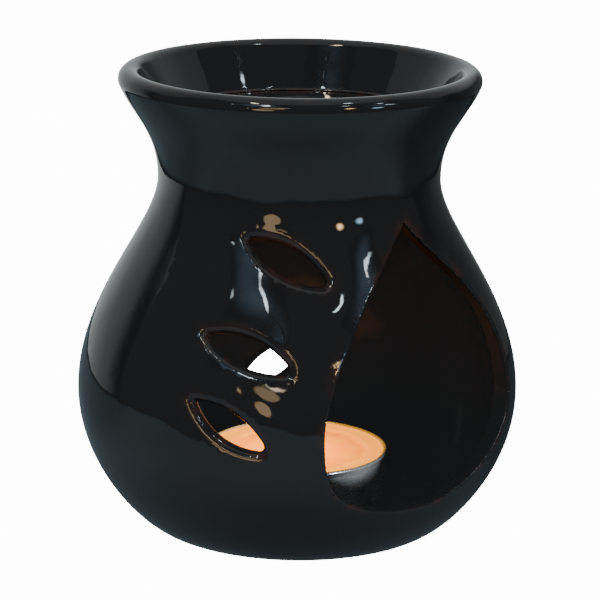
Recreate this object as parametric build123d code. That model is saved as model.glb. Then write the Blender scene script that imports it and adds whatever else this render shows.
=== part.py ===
from build123d import *
import math
import os

# An essential oil burner: a slip cast pot with a doorway and leaf shaped holes, black glazed,
# with an oil dish luted into its neck and a tealight that stands on its floor.
# Millimetres, Z up. The origin is the middle of the foot on the table, and the doorway faces -Y.

# The pot's outside, as a potter's template gives it: radius and height of each change of curve.
overall_height = 95.1
foot_radius = 29.5
belly_radius = 45.5
belly_height = 28.3
neck_radius = 28.9
flare_height = 22.5
neck_height = overall_height - flare_height
flare_width = 8.0
rim_radius = neck_radius + flare_width
lip_radius = 2.35
# How far each stretch of the template keeps its first direction before it turns,
# as shares of the height between its two ends, and the angles at its foot and rim.
foot_reach_share = 0.131
lower_belly_share = 0.55
upper_belly_share = 0.438
neck_below_share = 0.228
neck_above_share = 0.49
rim_reach_share = 0.358
foot_angle = 12.7
flare_angle = 24.0

# The pot's wall and inside.
wall = 4.0
floor_thickness = 3.2
floor_radius = 23.5
floor_reach_share = 0.28
inner_flare_angle = 31.0
cut_edge_radius = 1.0

# The doorway: a hand cut teardrop, given by its tip and its widest and lowest points.
door_tip_x = 1.9
door_tip_below_neck = 5.2
door_left = 25.4
door_left_above_belly = 0.9
door_right = 24.3
door_right_above_belly = 3.2
door_sill_x = -4.5
door_sill_height = 12.9
door_tip_left_angle = 50.0
door_tip_right_angle = 30.0
door_tip_radius = 1.2
# Reaches of the doorway's curves, as shares of its height from sill to tip.
door_tip_left_share = 0.21
door_upper_left_share = 0.268
door_lower_left_share = 0.144
door_sill_left_share = 0.34
door_sill_right_share = 0.29
door_lower_right_share = 0.092
door_upper_right_share = 0.37
door_tip_right_share = 0.175

# The leaf shaped holes: three beside the doorway and one for air, low at the back.
leaf_point_radius = 0.35
leaf_stem_radius = 1.5
# The leaves are spaced and sized by the rise of the wall from belly to neck.
leaf_rise = neck_height - belly_height
leaf_width_share = 0.176
leaf_height_shares = {"upper": 0.777, "middle": 0.409, "lower": 0.079, "back": -0.181}
leaf_length_shares = {"upper": 0.465, "middle": 0.483, "lower": 0.424, "back": 0.451}
# How far each stands round the wall from the doorway's middle, as a share of the doorway's left half.
leaf_round_shares = {"upper": -1.036, "middle": -1.572, "lower": -1.85, "back": 4.437}
# Degrees that each falls from its point to its stem.
leaf_falls = {"upper": 33.0, "middle": 19.5, "lower": 30.0, "back": 32.0}

# The oil dish, a shallow bowl whose rim is luted to a seat inside the neck.
dish_seat_above_neck = 4.2
dish_seat_below_rim = 9.8
dish_depth = 14.8
dish_thickness = 3.2
dish_edge = 0.7
# Reaches of the bowl's curves, as shares of its radius.
bowl_side_share = 0.26
bowl_floor_share = 0.5

# The tealight: a pressed aluminium cup, its wax, the wick and the wick's metal foot.
cup_radius = 19.0
cup_height = 11.5
cup_wall = 0.3
cup_bead_radius = 0.4
cup_taper = 0.5
cup_corner_radius = 0.9
wax_below_rim = 0.9
wick_radius = 0.8
wick_above_wax = 6.5
wick_bend_radius = 9.0
wick_bend_angle = 28.0
sustainer_radius = 6.5
sustainer_thickness = 0.3
sustainer_neck_radius = 1.5
sustainer_neck_height = 3.2

# One overrun serves every cut, and an edge this near a cutter's skin was made by that cut.
overrun = 5.0
on_skin = 0.001


def polar(length, angle_from_up):
    """A step of a template, leaning outwards from straight up by the angle."""
    lean = math.radians(angle_from_up)
    return Vector(length * math.sin(lean), length * math.cos(lean))


def turned(edges):
    """Spins a closed template, drawn as radius and height, about the pot's axis."""
    face = Plane.XZ * make_face(Wire(edges))
    return revolve(face, Axis.Z)


def belly_curves(low, belly, neck, low_step):
    """The two curves from the foot or floor over the belly to the neck."""
    below = belly.Y - low.Y
    above = neck.Y - belly.Y
    lower = Bezier(
        low,
        low + low_step,
        belly - Vector(0, below * lower_belly_share),
        belly,
    )
    upper = Bezier(
        belly,
        belly + Vector(0, above * upper_belly_share),
        neck - Vector(0, above * neck_below_share),
        neck,
    )
    return lower, upper


lip_centre = Vector(rim_radius - lip_radius, overall_height - lip_radius)
lip_outside = lip_centre + polar(lip_radius, 90.0 + flare_angle)
lip_inside = lip_centre + polar(lip_radius, inner_flare_angle - 90.0)
lip_top = lip_centre + Vector(0, lip_radius)

foot_point = Vector(foot_radius, 0)
belly_point = Vector(belly_radius, belly_height)
neck_point = Vector(neck_radius, neck_height)
foot_step = polar(belly_height * foot_reach_share, 90.0 - foot_angle)
outer_lower, outer_upper = belly_curves(foot_point, belly_point, neck_point, foot_step)
flare_rise = lip_outside.Y - neck_height
outer_flare = Bezier(
    neck_point,
    neck_point + Vector(0, flare_rise * neck_above_share),
    lip_outside - polar(flare_rise * rim_reach_share, flare_angle),
    lip_outside,
)

inner_neck_radius = neck_radius - wall
seat_low_point = Vector(inner_neck_radius, neck_height + dish_seat_above_neck)
seat_drop = lip_inside.Y - (overall_height - dish_seat_below_rim)
seat_high_point = lip_inside - Vector(seat_drop * math.tan(math.radians(inner_flare_angle)), seat_drop)


def pot_shell():
    """The pot as it leaves the mould, before anything is cut in it."""
    floor_edge = Vector(floor_radius, floor_thickness)
    inner_belly = Vector(belly_radius - wall, belly_height)
    inner_neck = Vector(inner_neck_radius, neck_height)
    floor_step = Vector(belly_radius * floor_reach_share, 0)
    inner_lower, inner_upper = belly_curves(floor_edge, inner_belly, inner_neck, floor_step)
    return turned(
        [
            Line((0, floor_thickness), floor_edge),
            inner_lower,
            inner_upper,
            Line(inner_neck, seat_low_point),
            Line(seat_low_point, seat_high_point),
            Line(seat_high_point, lip_inside),
            ThreePointArc(lip_inside, lip_top, lip_outside),
            outer_flare,
            outer_upper,
            outer_lower,
            Line(foot_point, (0, 0)),
            Line((0, 0), (0, floor_thickness)),
        ]
    )


def doorway_cutter():
    """The teardrop, pushed straight in through the front wall."""
    tip = Vector(door_tip_x, neck_height - door_tip_below_neck)
    left = Vector(-door_left, belly_height + door_left_above_belly)
    right = Vector(door_right, belly_height + door_right_above_belly)
    sill = Vector(door_sill_x, door_sill_height)
    height = tip.Y - sill.Y
    outline = Wire(
        [
            Bezier(
                tip,
                tip - polar(height * door_tip_left_share, door_tip_left_angle),
                left + Vector(0, height * door_upper_left_share),
                left,
            ),
            Bezier(
                left,
                left - Vector(0, height * door_lower_left_share),
                sill - Vector(height * door_sill_left_share, 0),
                sill,
            ),
            Bezier(
                sill,
                sill + Vector(height * door_sill_right_share, 0),
                right - Vector(0, height * door_lower_right_share),
                right,
            ),
            Bezier(
                right,
                right + Vector(0, height * door_upper_right_share),
                tip - polar(height * door_tip_right_share, -door_tip_right_angle),
                tip,
            ),
        ]
    )
    face = Plane.XZ * make_face(outline)
    point = face.vertices().sort_by(Axis.Z)[-1]
    face = fillet(point, door_tip_radius)
    return extrude(face, amount=belly_radius + overrun)


def on_wall(height):
    """The outer wall's radius at a height, and how far it leans in from upright there."""
    low, high = 0.0, 1.0
    curve = outer_lower if height < belly_height else outer_upper
    ends_up = curve.position_at(1).Y > curve.position_at(0).Y
    for _ in range(40):
        middle = (low + high) / 2
        if (curve.position_at(middle).Y < height) == ends_up:
            low = middle
        else:
            high = middle
    place = curve.position_at(low)
    run = curve.tangent_at(low)
    lean = math.degrees(math.atan2(-run.X, run.Y)) if ends_up else math.degrees(math.atan2(run.X, -run.Y))
    return place.X, lean


def leaf_cutter(name):
    """One leaf, pushed in square to the wall at its middle, its point up to the left."""
    height = belly_height + leaf_rise * leaf_height_shares[name]
    length = leaf_rise * leaf_length_shares[name]
    width = leaf_rise * leaf_width_share
    radius, lean = on_wall(height)
    around = door_left * leaf_round_shares[name] / radius
    tilt = math.radians(lean)
    outward = Vector(math.sin(around), -math.cos(around), 0)
    along = Vector(math.cos(around), math.sin(around), 0)
    facing = outward * math.cos(tilt) + Vector(0, 0, math.sin(tilt))
    place = Plane(outward * radius + Vector(0, 0, height), x_dir=along, z_dir=facing)
    point = Vector(-length / 2, 0)
    stem = Vector(length / 2, 0)
    outline = Wire(
        [
            ThreePointArc(point, (0, width / 2), stem),
            ThreePointArc(stem, (0, -width / 2), point),
        ]
    )
    face = make_face(outline)
    face = fillet(face.vertices().sort_by(Axis.X)[-1], leaf_stem_radius)
    face = fillet(face.vertices().sort_by(Axis.X)[0], leaf_point_radius)
    tilted = place * Rot(0, 0, -leaf_falls[name]) * face
    return extrude(tilted, amount=wall + overrun, both=True)


def cut_through(pot, cutter):
    """Cuts one hole and rounds its edges inside and out, as sponging and the glaze leave them."""
    pot = pot - cutter
    skin = cutter.faces()
    rims = [
        edge
        for edge in pot.edges()
        if edge.geom_type != GeomType.LINE
        and min(face.distance_to(edge.position_at(0.5)) for face in skin) < on_skin
    ]
    return fillet(rims, cut_edge_radius)


def burner_pot():
    pot = cut_through(pot_shell(), doorway_cutter())
    for name in leaf_falls:
        pot = cut_through(pot, leaf_cutter(name))
    return pot


def oil_dish():
    """The bowl: its cone shaped side bears on the seat in the neck, and its underside hangs free."""
    floor_height = seat_high_point.Y - dish_depth
    under_height = floor_height - dish_thickness
    rim_inside = seat_high_point - Vector(dish_edge, 0)
    side = seat_high_point.X * bowl_side_share
    inside = Bezier(
        rim_inside,
        rim_inside - polar(side, inner_flare_angle),
        (rim_inside.X * bowl_floor_share, floor_height),
        (0, floor_height),
    )
    underside = Bezier(
        (0, under_height),
        (seat_low_point.X * bowl_floor_share, under_height),
        seat_low_point - polar(side, inner_flare_angle),
        seat_low_point,
    )
    return turned(
        [
            inside,
            Line((0, floor_height), (0, under_height)),
            underside,
            Line(seat_low_point, seat_high_point),
            Line(seat_high_point, rim_inside),
        ]
    )


def write(name, shape):
    export_step(shape, os.path.join("parts", name + ".step"))


# Heights inside the tealight, counted from the floor of the pot that it stands on.
cup_top = floor_thickness + cup_height
cup_inside_floor = floor_thickness + cup_wall
bead_height = cup_top - cup_bead_radius
cup_side_radius = cup_radius - 2 * cup_bead_radius + cup_wall
cup_base_radius = cup_side_radius - cup_taper
wax_top = cup_top - wax_below_rim


def cup_inner_radius(height):
    """The cup's inside radius at a height: it widens a little from base to rim."""
    rise = (height - floor_thickness) / (bead_height - floor_thickness)
    return cup_base_radius - cup_wall + (cup_side_radius - cup_base_radius) * rise


def tealight_cup():
    """A thin pressed cup with a rounded corner below and a rolled bead round its rim."""
    outer_top = Vector(cup_side_radius, bead_height)
    inner_top = Vector(cup_inner_radius(bead_height), bead_height)
    inner_low = Vector(cup_inner_radius(cup_inside_floor), cup_inside_floor)
    blank = make_face(
        Wire(
            [
                Line((0, floor_thickness), (cup_base_radius, floor_thickness)),
                Line((cup_base_radius, floor_thickness), outer_top),
                Line(outer_top, inner_top),
                Line(inner_top, inner_low),
                Line(inner_low, (0, cup_inside_floor)),
                Line((0, cup_inside_floor), (0, floor_thickness)),
            ]
        )
    )
    corner = blank.vertices().sort_by(Axis.Y)[:2].sort_by(Axis.X)[-1]
    blank = fillet(corner, cup_corner_radius)
    crook = blank.vertices().sort_by_distance((inner_low.X, inner_low.Y, 0))[0]
    blank = fillet(crook, cup_corner_radius - cup_wall)
    bead_middle = cup_inner_radius(bead_height) + cup_bead_radius
    bead = Pos(bead_middle, bead_height) * Circle(cup_bead_radius)
    return revolve(Plane.XZ * (blank + bead), Axis.Z)


def wick():
    """A braided wick: upright through the wax, then curling over where it has burnt."""
    bend_height = wax_top + wick_above_wax / 2
    start = Vector(0, 0, cup_inside_floor)
    bend_start = Vector(0, 0, bend_height)
    turn = math.radians(wick_bend_angle)
    bend_end = bend_start + Vector(
        -wick_bend_radius * (1 - math.cos(turn)), 0, wick_bend_radius * math.sin(turn)
    )
    half = turn / 2
    bend_middle = bend_start + Vector(
        -wick_bend_radius * (1 - math.cos(half)), 0, wick_bend_radius * math.sin(half)
    )
    path = Wire([Line(start, bend_start), ThreePointArc(bend_start, bend_middle, bend_end)])
    section = Plane(start) * Circle(wick_radius)
    return sweep(section, path=path)


def wick_sustainer():
    """The stamped tin disc that keeps the wick upright, with its neck crimped round it."""
    disc = Cylinder(sustainer_radius, sustainer_thickness, align=(Align.CENTER, Align.CENTER, Align.MIN))
    neck = Cylinder(sustainer_neck_radius, sustainer_neck_height, align=(Align.CENTER, Align.CENTER, Align.MIN))
    foot = Pos(0, 0, cup_inside_floor) * (disc + neck)
    return foot - wick()


def tealight_wax():
    """The wax fills the cup to just under its rim, round the wick and its foot."""
    low_radius = cup_inner_radius(cup_inside_floor)
    top_radius = cup_inner_radius(wax_top)
    crook = cup_corner_radius - cup_wall
    face = make_face(
        Wire(
            [
                Line((0, cup_inside_floor), (low_radius, cup_inside_floor)),
                Line((low_radius, cup_inside_floor), (top_radius, wax_top)),
                Line((top_radius, wax_top), (0, wax_top)),
                Line((0, wax_top), (0, cup_inside_floor)),
            ]
        )
    )
    corner = face.vertices().sort_by_distance((low_radius, cup_inside_floor, 0))[0]
    face = fillet(corner, crook)
    return revolve(Plane.XZ * face, Axis.Z) - wick_sustainer() - wick()


os.makedirs("parts", exist_ok=True)
write("burner_pot", burner_pot())
write("oil_dish", oil_dish())
write("tealight_cup", tealight_cup())
write("tealight_wax", tealight_wax())
write("tealight_wick", wick())
write("wick_sustainer", wick_sustainer())
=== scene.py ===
import math

import bmesh
import bpy
import numpy as np
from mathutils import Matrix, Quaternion, Vector


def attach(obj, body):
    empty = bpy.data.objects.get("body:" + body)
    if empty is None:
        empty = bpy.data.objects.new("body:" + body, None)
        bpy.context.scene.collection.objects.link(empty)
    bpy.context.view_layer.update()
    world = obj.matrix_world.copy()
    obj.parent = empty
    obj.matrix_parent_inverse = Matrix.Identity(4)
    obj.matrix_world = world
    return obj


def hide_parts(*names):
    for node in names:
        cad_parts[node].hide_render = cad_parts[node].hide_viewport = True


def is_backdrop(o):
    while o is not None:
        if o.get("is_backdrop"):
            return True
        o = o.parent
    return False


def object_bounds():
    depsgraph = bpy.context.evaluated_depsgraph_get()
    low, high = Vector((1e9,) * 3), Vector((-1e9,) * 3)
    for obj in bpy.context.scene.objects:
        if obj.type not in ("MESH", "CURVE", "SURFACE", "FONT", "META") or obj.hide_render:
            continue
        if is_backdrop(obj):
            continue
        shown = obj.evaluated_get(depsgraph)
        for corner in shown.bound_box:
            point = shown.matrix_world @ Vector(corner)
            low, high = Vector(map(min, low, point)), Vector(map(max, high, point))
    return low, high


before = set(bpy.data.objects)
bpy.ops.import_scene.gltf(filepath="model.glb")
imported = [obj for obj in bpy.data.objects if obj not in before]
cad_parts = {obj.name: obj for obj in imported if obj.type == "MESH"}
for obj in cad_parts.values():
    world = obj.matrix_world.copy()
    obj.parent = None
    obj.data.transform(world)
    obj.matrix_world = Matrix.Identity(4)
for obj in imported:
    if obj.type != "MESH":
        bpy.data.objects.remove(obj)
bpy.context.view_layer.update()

# The pot: earthenware, slip cast in a two part plaster mould, 4 mm thick all round.
# The doorway and the leaves are cut by hand while the clay is leather hard, their edges are
# wiped soft with a damp sponge, and the whole is dipped in black glaze but for the foot.
mm = 0.001
overall_height = 95.1 * mm
foot_radius = 29.5 * mm
belly_radius = 45.5 * mm
belly_height = 28.3 * mm
neck_radius = 28.9 * mm
neck_height = 72.6 * mm
rim_radius = 36.9 * mm
lip_radius = 2.35 * mm
foot_angle = 12.7
flare_angle = 24.0
wall = 4.0 * mm
floor_thickness = 3.2 * mm
floor_radius = 23.5 * mm
inner_flare_angle = 31.0
dish_seat_low = 76.8 * mm
dish_seat_high = 85.3 * mm
# How far each stretch of the template keeps its first direction before it turns: shares of the
# height between its ends, and on the floor of the belly's radius.
foot_reach_share = 0.131
lower_belly_share = 0.55
upper_belly_share = 0.438
neck_below_share = 0.228
neck_above_share = 0.49
rim_reach_share = 0.358
floor_reach_share = 0.28


def polar(length, angle_from_up):
    """A step of a template, as radius and height, leaning outwards by the angle."""
    lean = math.radians(angle_from_up)
    return np.array([length * math.sin(lean), length * math.cos(lean)])


def curve(start, first, second, end, count=120):
    """A smooth stretch of a template between two points, steered by two more."""
    t = np.linspace(0, 1, count)[:, None]
    pull = 3 * t * (1 - t) * ((1 - t) * first + t * second)
    return (1 - t) ** 3 * start + pull + t**3 * end


def belly_curves(low, belly, neck, low_step):
    """The two stretches from the foot or floor over the belly to the neck."""
    below = np.array([0, belly[1] - low[1]])
    above = np.array([0, neck[1] - belly[1]])
    lower = curve(low, low + low_step, belly - lower_belly_share * below, belly)
    upper = curve(belly, belly + upper_belly_share * above, neck - neck_below_share * above, neck)
    return [lower, upper[1:]]


lip_centre = np.array([rim_radius - lip_radius, overall_height - lip_radius])
lip_angles = np.linspace(inner_flare_angle - 90, 90 + flare_angle, 60)
lip = np.array([lip_centre + polar(lip_radius, angle) for angle in lip_angles])
foot = np.array([foot_radius, 0.0])
belly = np.array([belly_radius, belly_height])
neck = np.array([neck_radius, neck_height])
foot_step = polar(foot_reach_share * belly_height, 90 - foot_angle)
outside = belly_curves(foot, belly, neck, foot_step)
flare_rise = lip[-1][1] - neck_height
flare_start = neck + [0, neck_above_share * flare_rise]
flare_end = lip[-1] - polar(rim_reach_share * flare_rise, flare_angle)
outside.append(curve(neck, flare_start, flare_end, lip[-1])[1:])
outer_wall = np.vstack(outside)

inner_floor = np.array([floor_radius, floor_thickness])
inner_belly = belly - [wall, 0]
inner_neck = neck - [wall, 0]
seat_drop = lip[0][1] - dish_seat_high
seat_high = lip[0] - [seat_drop * math.tan(math.radians(inner_flare_angle)), seat_drop]
inside = [np.array([[0, floor_thickness]])]
floor_step = np.array([floor_reach_share * belly_radius, 0])
inside += belly_curves(inner_floor, inner_belly, inner_neck, floor_step)
inside.append(np.array([[inner_neck[0], dish_seat_low], seat_high]))
pot_outline = np.vstack(inside + [lip, outer_wall[::-1][1:], np.zeros((1, 2))])


no_length = 1e-18


def distances(outline, low, high, step):
    """A table of signed distances to a closed outline, less than 0 inside it."""
    counts = np.ceil((np.array(high) - low) / step).astype(int) + 1
    across = low[0] + step * np.arange(counts[0])
    up = low[1] + step * np.arange(counts[1])
    spots = np.stack(np.meshgrid(across, up, indexing="ij"), -1).reshape(-1, 2)
    nearest = np.full(len(spots), np.inf)
    crossings = np.zeros(len(spots), int)
    for a, b in zip(outline, np.roll(outline, -1, 0)):
        side = b - a
        from_a = spots - a
        share = np.clip(from_a @ side / max(side @ side, no_length), 0, 1)
        gap = from_a - share[:, None] * side
        nearest = np.minimum(nearest, (gap**2).sum(1))
        spans = (a[1] > spots[:, 1]) != (b[1] > spots[:, 1])
        if a[1] != b[1]:
            at = a[0] + (spots[:, 1] - a[1]) * side[0] / side[1]
            crossings += spans & (spots[:, 0] < at)
    signed = np.sqrt(nearest) * np.where(crossings % 2 == 1, -1, 1)
    return signed.reshape(counts), np.array(low), step


def look_up(table, a, b):
    """Reads a table of distances between its points with a smooth cubic."""
    values, low, step = table
    place = (np.stack([a, b], -1) - low) / step
    whole = np.clip(np.floor(place).astype(int), 1, np.array(values.shape) - 3)
    part = np.clip(place - whole, 0, 1)
    weights = (
        ((-0.5 * part + 1.0) * part - 0.5) * part,
        (1.5 * part - 2.5) * part**2 + 1.0,
        ((-1.5 * part + 2.0) * part + 0.5) * part,
        (0.5 * part - 0.5) * part**2,
    )
    total = np.zeros(len(place))
    for i in range(4):
        for j in range(4):
            cell = values[whole[:, 0] + i - 1, whole[:, 1] + j - 1]
            total += weights[i][:, 0] * weights[j][:, 1] * cell
    return total


outline_step = 0.25 * mm
margin = 3 * mm
clay_table = distances(
    pot_outline, (-margin, -margin), (belly_radius + margin, overall_height + margin), outline_step
)

# The doorway is a freehand teardrop, cut straight in from the front. Each of its four curves
# leaves a corner of the outline straight, for a share of the doorway's height.
door_tip = np.array([1.9, 67.4]) * mm
door_left = np.array([-25.4, 29.2]) * mm
door_right = np.array([24.3, 31.5]) * mm
door_sill = np.array([-4.5, 12.9]) * mm
door_height = door_tip[1] - door_sill[1]
door_tip_left = door_tip - polar(0.21 * door_height, 50)
door_upper_left = door_left + [0, 0.268 * door_height]
door_lower_left = door_left - [0, 0.144 * door_height]
door_sill_left = door_sill - [0.34 * door_height, 0]
door_sill_right = door_sill + [0.29 * door_height, 0]
door_lower_right = door_right - [0, 0.092 * door_height]
door_upper_right = door_right + [0, 0.37 * door_height]
door_tip_right = door_tip - polar(0.175 * door_height, -30)
doorway_outline = np.vstack(
    [
        curve(door_tip, door_tip_left, door_upper_left, door_left)[:-1],
        curve(door_left, door_lower_left, door_sill_left, door_sill)[:-1],
        curve(door_sill, door_sill_right, door_lower_right, door_right)[:-1],
        curve(door_right, door_upper_right, door_tip_right, door_tip)[:-1],
    ]
)
doorway_margin = 8 * margin
doorway_table = distances(
    doorway_outline,
    (door_left[0] - doorway_margin, -margin),
    (door_right[0] + doorway_margin, overall_height + margin),
    outline_step,
)
doorway_edge = 0.9 * mm

# Each leaf is a lens of two arcs: degrees round from the doorway, height, length and fall.
leaf_width = 5.6 * mm
leaf_edge = 1.9 * mm
leaf_point_radius = 0.4 * mm
leaf_stem_radius = 2.0 * mm
leaf_cut_reach = 3 * wall
leaves = {
    "upper": (-45.6, 62.7 * mm, 18.4 * mm, 30.0),
    "middle": (-55.7, 46.4 * mm, 19.0 * mm, 19.5),
    "lower": (-59.4, 31.8 * mm, 17.4 * mm, 30.0),
    "back": (145.5, 20.3 * mm, 17.6 * mm, 32.0),
}
# The knife's push dents the soft wall round each hole. At the middle leaf it eased off above the
# leaf's middle line, between two shares of the leaf's length from its middle.
leaf_dent = 0.55 * mm
leaf_dent_reach = 4.5 * mm
eased_share = 0.9
eased_from = 0.09
eased_to = 0.39
doorway_dent = 0.5 * mm
doorway_dent_reach = 4.0 * mm


def rounded_most(a, b, radius):
    """The larger of two distances, with the corner where they meet rounded."""
    corner = np.hypot(np.maximum(a + radius, 0), np.maximum(b + radius, 0))
    return np.minimum(np.maximum(a, b), -radius) + corner


def leaf_place(points, turn, height, length, fall):
    """Where points are, seen from a leaf's middle: along it, across it and out of the wall."""
    radius, above = np.interp([height, height + mm], outer_wall[:, 1], outer_wall[:, 0])
    lean = math.atan2(radius - above, mm)
    around = math.radians(turn)
    outward = np.array([math.sin(around), -math.cos(around), 0])
    level = np.array([math.cos(around), math.sin(around), 0])
    facing = outward * math.cos(lean) + np.array([0, 0, math.sin(lean)])
    upward = np.cross(facing, level)
    drop = math.radians(fall)
    along = level * math.cos(drop) - upward * math.sin(drop)
    across = level * math.sin(drop) + upward * math.cos(drop)
    away = points - outward * radius - [0, 0, height]
    return away @ along, away @ across, away @ facing


def leaf_distance(points, turn, height, length, fall):
    """Distance to one leaf shaped hole, cut square to the wall at its middle."""
    u, v, depth = leaf_place(points, turn, height, length, fall)
    arc = (length**2 + leaf_width**2) / (4 * leaf_width)
    sunk = arc - leaf_width / 2
    end = np.clip(0.5 + u / length, 0, 1)
    rounding = leaf_point_radius + (leaf_stem_radius - leaf_point_radius) * end
    lens = rounded_most(np.hypot(u, v + sunk) - arc, np.hypot(u, v - sunk) - arc, rounding)
    return np.maximum(lens, np.abs(depth) - leaf_cut_reach)


def leaf_distances(points):
    """Distance to each leaf shaped hole."""
    return [leaf_distance(points, *leaf) for leaf in leaves.values()]


def doorway_distance(points):
    """Distance to the doorway, which goes no further back than the pot's axis."""
    return np.maximum(look_up(doorway_table, points[:, 0], points[:, 2]), points[:, 1])


def ramp(value, low, high):
    """0 at the low end and 1 at the high end, even in between."""
    return np.clip((value - low) / (high - low), 0, 1)


def push_beside(hole, depth, reach):
    """How far the wall is pushed in beside a hole."""
    return depth * np.exp(-((np.maximum(hole, 0) / reach) ** 2))


def clay(points):
    """Distance to the pot's skin, less than 0 in the clay: the turned wall less its holes."""
    doorway = doorway_distance(points)
    holes = dict(zip(leaves, leaf_distances(points)))
    u, v, _ = leaf_place(points, *leaves["middle"])
    length = leaves["middle"][2]
    eased = ramp(u, eased_from * length, eased_to * length) * ramp(v, -mm, mm)
    eased = eased**2 * (3 - 2 * eased)
    dent = push_beside(doorway, doorway_dent, doorway_dent_reach)
    for name, hole in holes.items():
        kept = 1 - eased_share * eased * (name == "middle")
        dent = dent + kept * push_beside(hole, leaf_dent, leaf_dent_reach)
    radius = np.hypot(points[:, 0], points[:, 1]) + dent
    skin = look_up(clay_table, radius, points[:, 2])
    skin = rounded_most(skin, -doorway, doorway_edge)
    for hole in holes.values():
        skin = rounded_most(skin, -hole, leaf_edge)
    return skin


def slope(distance, points, step):
    """Which way a distance grows at each point."""
    parts = []
    for axis in np.eye(3):
        parts.append((distance(points + step * axis) - distance(points - step * axis)) / (2 * step))
    return np.stack(parts, -1)


least_slope = 0.2


def settle(distance, points, times, step):
    """Moves points on to the skin."""
    for _ in range(times):
        way = slope(distance, points, step)
        size = np.maximum((way**2).sum(1), least_slope)
        points = points - (distance(points) / size)[:, None] * way
    return points


def skin_of(distance, low, high, cell):
    """Quads round a solid given by its distance: one corner in each cell that its skin crosses."""
    low = np.array(low)
    counts = np.ceil((np.array(high) - low) / cell).astype(int) + 1
    axes = [low[i] + cell * np.arange(counts[i]) for i in range(3)]
    spots = np.stack(np.meshgrid(*axes, indexing="ij"), -1)
    solid = distance(spots.reshape(-1, 3)).reshape(counts)
    total = np.zeros(tuple(counts - 1) + (3,))
    count = np.zeros(tuple(counts - 1))
    crossed = []
    for axis in range(3):
        a = np.moveaxis(solid, axis, 0)
        here, there = a[:-1], a[1:]
        cuts = (here < 0) != (there < 0)
        share = np.where(cuts, here / np.where(cuts, here - there, 1), 0)
        crossed.append(np.moveaxis(cuts, 0, axis))
        place = spots[tuple(slice(0, -1) if i == axis else slice(None) for i in range(3))].copy()
        place[..., axis] += cell * np.moveaxis(share, 0, axis)
        place *= crossed[axis][..., None]
        others = [i for i in range(3) if i != axis]
        for step_a in (0, 1):
            for step_b in (0, 1):
                window = [slice(None)] * 3
                window[others[0]] = slice(step_a, counts[others[0]] - 1 + step_a)
                window[others[1]] = slice(step_b, counts[others[1]] - 1 + step_b)
                total += place[tuple(window)]
                count += crossed[axis][tuple(window)]
    number = np.full(count.shape, -1)
    used = count > 0
    number[used] = np.arange(used.sum())
    corners = total[used] / count[used][:, None]
    quads = []
    for axis in range(3):
        b, c = (axis + 1) % 3, (axis + 2) % 3
        where = np.argwhere(crossed[axis])
        inner = (where[:, b] > 0) & (where[:, c] > 0)
        inner &= (where[:, b] < counts[b] - 1) & (where[:, c] < counts[c] - 1)
        where = where[inner]
        ring = []
        for step_b, step_c in ((-1, -1), (0, -1), (0, 0), (-1, 0)):
            cell_at = where.copy()
            cell_at[:, b] += step_b
            cell_at[:, c] += step_c
            ring.append(number[tuple(cell_at.T)])
        ring = np.stack(ring, -1)
        leaves_clay = solid[tuple(where.T)] < 0
        ring[~leaves_clay] = ring[~leaves_clay][:, ::-1]
        quads.append(ring)
    return corners, np.vstack(quads)


def mesh_of(name, corners, faces):
    mesh = bpy.data.meshes.new(name)
    mesh.from_pydata([tuple(c) for c in corners], [], [tuple(f) for f in faces])
    mesh.update()
    piece = bpy.data.objects.new(name, mesh)
    bpy.context.collection.objects.link(piece)
    return piece


def positions(mesh):
    spots = np.empty(len(mesh.vertices) * 3)
    mesh.vertices.foreach_get("co", spots)
    return spots.reshape(-1, 3)


pot_cell = 1.15 * mm
fine_step = 0.04 * mm
rough_settling = 4
last_settling = 5
reach = belly_radius + 2 * pot_cell
lowest = (-reach, -reach, -1.5 * pot_cell)
highest = (reach, reach, overall_height + 2 * pot_cell)
corners, quads = skin_of(clay, lowest, highest, pot_cell)
corners = settle(clay, corners, rough_settling, fine_step)
pot = mesh_of("glazed_pot", corners, quads)


def edge_distance(points):
    """How near points are to a cut edge, the lip or the foot's corner."""
    radius = np.hypot(points[:, 0], points[:, 1])
    body = look_up(clay_table, radius, points[:, 2])
    near = np.abs(doorway_distance(points)) + np.maximum(body, 0)
    for hole in leaf_distances(points):
        near = np.minimum(near, np.abs(hole))
    from_lip = np.hypot(radius - lip_centre[0], points[:, 2] - lip_centre[1]) - lip_radius
    from_foot = np.hypot(radius - foot_radius, points[:, 2])
    return np.minimum(near, np.minimum(from_lip, from_foot))


# The mesh is split finer near the edges, and again closer to them.
fine_reaches = (2.4 * mm, 1.5 * mm)
shape = bmesh.new()
shape.from_mesh(pot.data)
for fine_reach in fine_reaches:
    shape.verts.ensure_lookup_table()
    spots = np.array([v.co for v in shape.verts])
    near = edge_distance(spots) < fine_reach
    edges = [e for e in shape.edges if near[e.verts[0].index] and near[e.verts[1].index]]
    bmesh.ops.subdivide_edges(shape, edges=edges, cuts=1, use_grid_fill=True)
    shape.verts.index_update()
bmesh.ops.triangulate(shape, faces=[f for f in shape.faces if len(f.verts) > 4])
shape.to_mesh(pot.data)
shape.free()
spots = settle(clay, positions(pot.data), last_settling, fine_step)
# The foot is ground flat on the kiln's shelf.
spots[:, 2] = np.maximum(spots[:, 2], 0)
pot.data.vertices.foreach_set("co", spots.ravel())
facing = slope(clay, spots, fine_step)
facing /= np.linalg.norm(facing, axis=1)[:, None]
pot.data.shade_smooth()
pot.data.normals_split_custom_set_from_vertices([tuple(n) for n in facing])
print("pot corners", len(pot.data.vertices), "faces", len(pot.data.polygons))

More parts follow.
